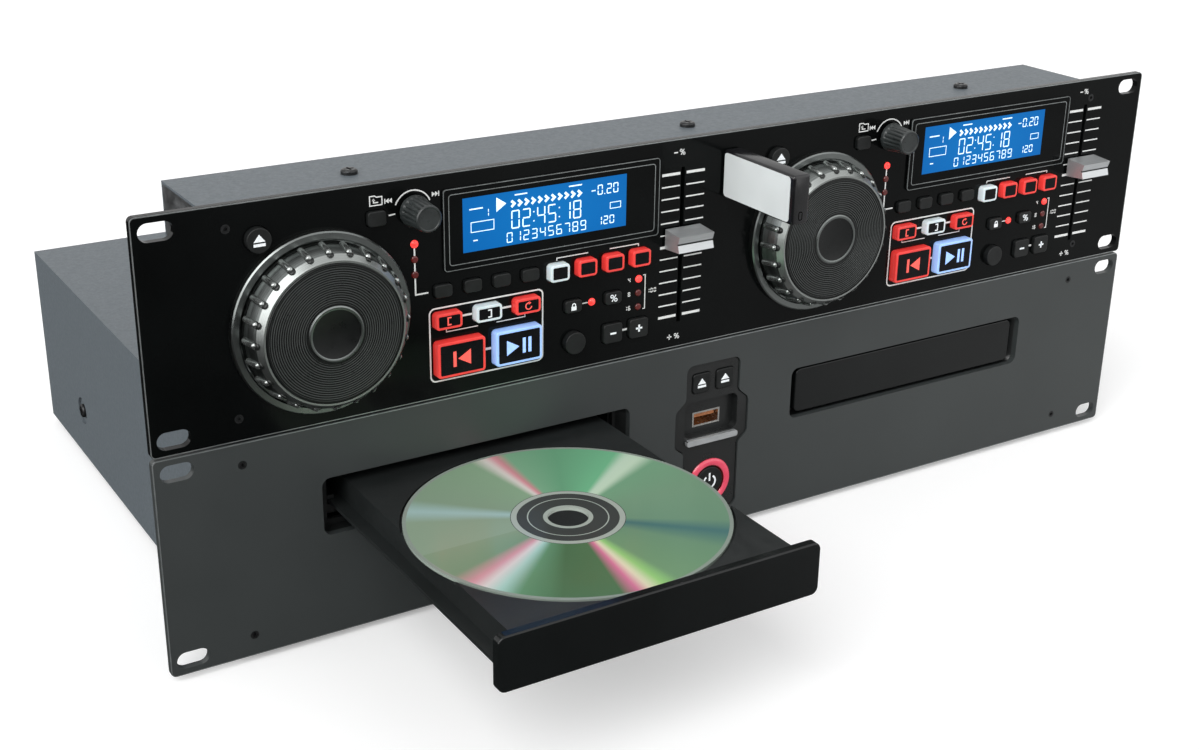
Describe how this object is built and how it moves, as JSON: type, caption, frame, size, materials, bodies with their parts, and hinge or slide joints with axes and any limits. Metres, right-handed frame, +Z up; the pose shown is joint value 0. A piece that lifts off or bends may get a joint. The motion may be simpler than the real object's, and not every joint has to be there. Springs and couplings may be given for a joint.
{
  "type": "twin disc player with control unit",
  "caption": "Rack-width disc drive with sliding trays under a slim control unit with jog wheels, faders, displays and keys.",
  "frame": {"origin": "on the floor under the middle of the whole object, with the left tray open", "axes": "+X to the object's right as seen from the front, +Y from the front panels to the back, +Z up"},
  "size_m": [0.4826, 0.4014, 0.1798],
  "materials": {
    "panel_gloss_black": "gloss black lacquer with bare bevelled edges",
    "panel_satin_charcoal": "satin charcoal paint",
    "case_powder_coat": "fine textured dark grey powder coat",
    "chassis_steel": "textured dark grey powder coat",
    "tray_plastic": "fine-grained black plastic",
    "door_gloss": "gloss black",
    "disc_silver": "mirror with diffraction colours",
    "wheel_metallic": "metallic grey",
    "wheel_plate": "grooved black",
    "knob_plastic": "dark grey satin",
    "bright_metal": "satin silver",
    "key_dark": "dark grey rubberised",
    "key_lit": "black with a lit rim",
    "window_black": "smoked window",
    "screen_blue": "backlit blue display",
    "lamp_red": "red lens",
    "console_plastic": "satin black plastic",
    "rubber_black": "matt",
    "board_green": "solder mask",
    "loader_plastic": "moulded black",
    "port_metal": "plated steel",
    "screw_black": "black oxide"
  },
  "bodies": {
    "root": {"case_screws": "screw_black", "centre_console": "console_plastic", "circuit_boards": "board_green", "control_chassis": "chassis_steel", "control_cover": "case_powder_coat", "control_panel": "panel_gloss_black", "disc_loaders": "loader_plastic", "display_modules": "screen_blue", "display_windows": "window_black", "drive_chassis": "chassis_steel", "drive_cover": "case_powder_coat", "drive_panel": "panel_satin_charcoal", "feet": "rubber_black", "light_lenses": "lamp_red", "rear_jacks": "port_metal", "usb_sockets": "port_metal", "wheel_surrounds": "wheel_metallic"},
    "drawer_left": {"tray_left": "tray_plastic", "tray_door_left": "door_gloss"},
    "jog_left": {"jog_wheel_left": "wheel_metallic", "jog_plate_left": "wheel_plate"},
    "shaft_left": {"encoder_shaft_left": "bright_metal"},
    "knob_left": {"track_knob_left": "knob_plastic"},
    "fader_left": {"fader_cap_left": "bright_metal"},
    "eject_key_left": {"eject_key_left": "key_dark"},
    "folder_key_left": {"folder_key_left": "key_dark"},
    "mode_keys_left": {"mode_keys_left": "key_dark"},
    "effect_keys_left": {"effect_keys_left": "key_lit"},
    "loop_keys_left": {"loop_keys_left": "key_lit"},
    "cue_key_left": {"cue_key_left": "key_lit"},
    "play_key_left": {"play_key_left": "key_lit"},
    "tempo_lock_key_left": {"tempo_lock_key_left": "key_dark"},
    "pitch_range_key_left": {"pitch_range_key_left": "key_dark"},
    "tap_key_left": {"tap_key_left": "key_dark"},
    "bend_minus_key_left": {"bend_minus_key_left": "key_dark"},
    "bend_plus_key_left": {"bend_plus_key_left": "key_dark"},
    "drive_eject_key_left": {"drive_eject_key_left": "key_dark"},
    "drawer_right": {"tray_right": "tray_plastic", "tray_door_right": "door_gloss"},
    "jog_right": {"jog_wheel_right": "wheel_metallic", "jog_plate_right": "wheel_plate"},
    "shaft_right": {"encoder_shaft_right": "bright_metal"},
    "knob_right": {"track_knob_right": "knob_plastic"},
    "fader_right": {"fader_cap_right": "bright_metal"},
    "eject_key_right": {"eject_key_right": "key_dark"},
    "folder_key_right": {"folder_key_right": "key_dark"},
    "mode_keys_right": {"mode_keys_right": "key_dark"},
    "effect_keys_right": {"effect_keys_right": "key_lit"},
    "loop_keys_right": {"loop_keys_right": "key_lit"},
    "cue_key_right": {"cue_key_right": "key_lit"},
    "play_key_right": {"play_key_right": "key_lit"},
    "tempo_lock_key_right": {"tempo_lock_key_right": "key_dark"},
    "pitch_range_key_right": {"pitch_range_key_right": "key_dark"},
    "tap_key_right": {"tap_key_right": "key_dark"},
    "bend_minus_key_right": {"bend_minus_key_right": "key_dark"},
    "bend_plus_key_right": {"bend_plus_key_right": "key_dark"},
    "drive_eject_key_right": {"drive_eject_key_right": "key_dark"},
    "power_key": {"power_key": "key_dark"},
    "disc": {"disc": "disc_silver"},
    "memory_stick": {"memory_stick": "bright_metal"}
  },
  "joints": [
    {"name": "drawer_left_close", "type": "slide", "parent": "root", "child": "drawer_left", "axis": [0, 1, 0], "range_m": [0, 0.1323]},
    {"name": "jog_left_turn", "type": "hinge", "parent": "root", "child": "jog_left", "pos_m": [-0.1756, -0.07025, 0.1313], "axis": [0, -1, 0], "continuous": true},
    {"name": "track_left_push", "type": "slide", "parent": "root", "child": "shaft_left", "axis": [0, 1, 0], "range_m": [0, 0.0005], "stiffness_N_per_m": 400},
    {"name": "track_left_turn", "type": "hinge", "parent": "shaft_left", "child": "knob_left", "pos_m": [-0.1379, -0.07025, 0.1677], "axis": [0, -1, 0], "continuous": true},
    {"name": "fader_left_slide", "type": "slide", "parent": "root", "child": "fader_left", "axis": [0, 0, 1], "range_m": [-0.0342, 0.0258]},
    {"name": "eject_key_left_press", "type": "slide", "parent": "root", "child": "eject_key_left", "axis": [0, 1, 0], "range_m": [0, 0.0008], "stiffness_N_per_m": 300},
    {"name": "folder_key_left_press", "type": "slide", "parent": "root", "child": "folder_key_left", "axis": [0, 1, 0], "range_m": [0, 0.0008], "stiffness_N_per_m": 300},
    {"name": "mode_keys_left_press", "type": "slide", "parent": "root", "child": "mode_keys_left", "axis": [0, 1, 0], "range_m": [0, 0.0008], "stiffness_N_per_m": 300},
    {"name": "effect_keys_left_press", "type": "slide", "parent": "root", "child": "effect_keys_left", "axis": [0, 1, 0], "range_m": [0, 0.0008], "stiffness_N_per_m": 300},
    {"name": "loop_keys_left_press", "type": "slide", "parent": "root", "child": "loop_keys_left", "axis": [0, 1, 0], "range_m": [0, 0.0008], "stiffness_N_per_m": 300},
    {"name": "cue_key_left_press", "type": "slide", "parent": "root", "child": "cue_key_left", "axis": [0, 1, 0], "range_m": [0, 0.0008], "stiffness_N_per_m": 300},
    {"name": "play_key_left_press", "type": "slide", "parent": "root", "child": "play_key_left", "axis": [0, 1, 0], "range_m": [0, 0.0008], "stiffness_N_per_m": 300},
    {"name": "tempo_lock_key_left_press", "type": "slide", "parent": "root", "child": "tempo_lock_key_left", "axis": [0, 1, 0], "range_m": [0, 0.0008], "stiffness_N_per_m": 300},
    {"name": "pitch_range_key_left_press", "type": "slide", "parent": "root", "child": "pitch_range_key_left", "axis": [0, 1, 0], "range_m": [0, 0.0008], "stiffness_N_per_m": 300},
    {"name": "tap_key_left_press", "type": "slide", "parent": "root", "child": "tap_key_left", "axis": [0, 1, 0], "range_m": [0, 0.0008], "stiffness_N_per_m": 300},
    {"name": "bend_minus_key_left_press", "type": "slide", "parent": "root", "child": "bend_minus_key_left", "axis": [0, 1, 0], "range_m": [0, 0.0008], "stiffness_N_per_m": 300},
    {"name": "bend_plus_key_left_press", "type": "slide", "parent": "root", "child": "bend_plus_key_left", "axis": [0, 1, 0], "range_m": [0, 0.0008], "stiffness_N_per_m": 300},
    {"name": "drive_eject_key_left_press", "type": "slide", "parent": "root", "child": "drive_eject_key_left", "axis": [0, 1, 0], "range_m": [0, 0.0008], "stiffness_N_per_m": 300},
    {"name": "drawer_right_open", "type": "slide", "parent": "root", "child": "drawer_right", "axis": [0, -1, 0], "range_m": [0, 0.1323]},
    {"name": "jog_right_turn", "type": "hinge", "parent": "root", "child": "jog_right", "pos_m": [0.0494, -0.07025, 0.1313], "axis": [0, -1, 0], "continuous": true},
    {"name": "track_right_push", "type": "slide", "parent": "root", "child": "shaft_right", "axis": [0, 1, 0], "range_m": [0, 0.0005], "stiffness_N_per_m": 400},
    {"name": "track_right_turn", "type": "hinge", "parent": "shaft_right", "child": "knob_right", "pos_m": [0.0871, -0.07025, 0.1677], "axis": [0, -1, 0], "continuous": true},
    {"name": "fader_right_slide", "type": "slide", "parent": "root", "child": "fader_right", "axis": [0, 0, 1], "range_m": [-0.0342, 0.0258]},
    {"name": "eject_key_right_press", "type": "slide", "parent": "root", "child": "eject_key_right", "axis": [0, 1, 0], "range_m": [0, 0.0008], "stiffness_N_per_m": 300},
    {"name": "folder_key_right_press", "type": "slide", "parent": "root", "child": "folder_key_right", "axis": [0, 1, 0], "range_m": [0, 0.0008], "stiffness_N_per_m": 300},
    {"name": "mode_keys_right_press", "type": "slide", "parent": "root", "child": "mode_keys_right", "axis": [0, 1, 0], "range_m": [0, 0.0008], "stiffness_N_per_m": 300},
    {"name": "effect_keys_right_press", "type": "slide", "parent": "root", "child": "effect_keys_right", "axis": [0, 1, 0], "range_m": [0, 0.0008], "stiffness_N_per_m": 300},
    {"name": "loop_keys_right_press", "type": "slide", "parent": "root", "child": "loop_keys_right", "axis": [0, 1, 0], "range_m": [0, 0.0008], "stiffness_N_per_m": 300},
    {"name": "cue_key_right_press", "type": "slide", "parent": "root", "child": "cue_key_right", "axis": [0, 1, 0], "range_m": [0, 0.0008], "stiffness_N_per_m": 300},
    {"name": "play_key_right_press", "type": "slide", "parent": "root", "child": "play_key_right", "axis": [0, 1, 0], "range_m": [0, 0.0008], "stiffness_N_per_m": 300},
    {"name": "tempo_lock_key_right_press", "type": "slide", "parent": "root", "child": "tempo_lock_key_right", "axis": [0, 1, 0], "range_m": [0, 0.0008], "stiffness_N_per_m": 300},
    {"name": "pitch_range_key_right_press", "type": "slide", "parent": "root", "child": "pitch_range_key_right", "axis": [0, 1, 0], "range_m": [0, 0.0008], "stiffness_N_per_m": 300},
    {"name": "tap_key_right_press", "type": "slide", "parent": "root", "child": "tap_key_right", "axis": [0, 1, 0], "range_m": [0, 0.0008], "stiffness_N_per_m": 300},
    {"name": "bend_minus_key_right_press", "type": "slide", "parent": "root", "child": "bend_minus_key_right", "axis": [0, 1, 0], "range_m": [0, 0.0008], "stiffness_N_per_m": 300},
    {"name": "bend_plus_key_right_press", "type": "slide", "parent": "root", "child": "bend_plus_key_right", "axis": [0, 1, 0], "range_m": [0, 0.0008], "stiffness_N_per_m": 300},
    {"name": "drive_eject_key_right_press", "type": "slide", "parent": "root", "child": "drive_eject_key_right", "axis": [0, 1, 0], "range_m": [0, 0.0008], "stiffness_N_per_m": 300},
    {"name": "power_key_press", "type": "slide", "parent": "root", "child": "power_key", "axis": [0, 1, 0], "range_m": [0, 0.0008], "stiffness_N_per_m": 300},
    {"name": "disc_lift", "type": "slide", "parent": "drawer_left", "child": "disc", "axis": [0, 0, -1], "range_m": [-0.06, 0]},
    {"name": "memory_stick_pull", "type": "slide", "parent": "root", "child": "memory_stick", "axis": [0, -1, 0], "range_m": [0, 0.06]}
  ]
}
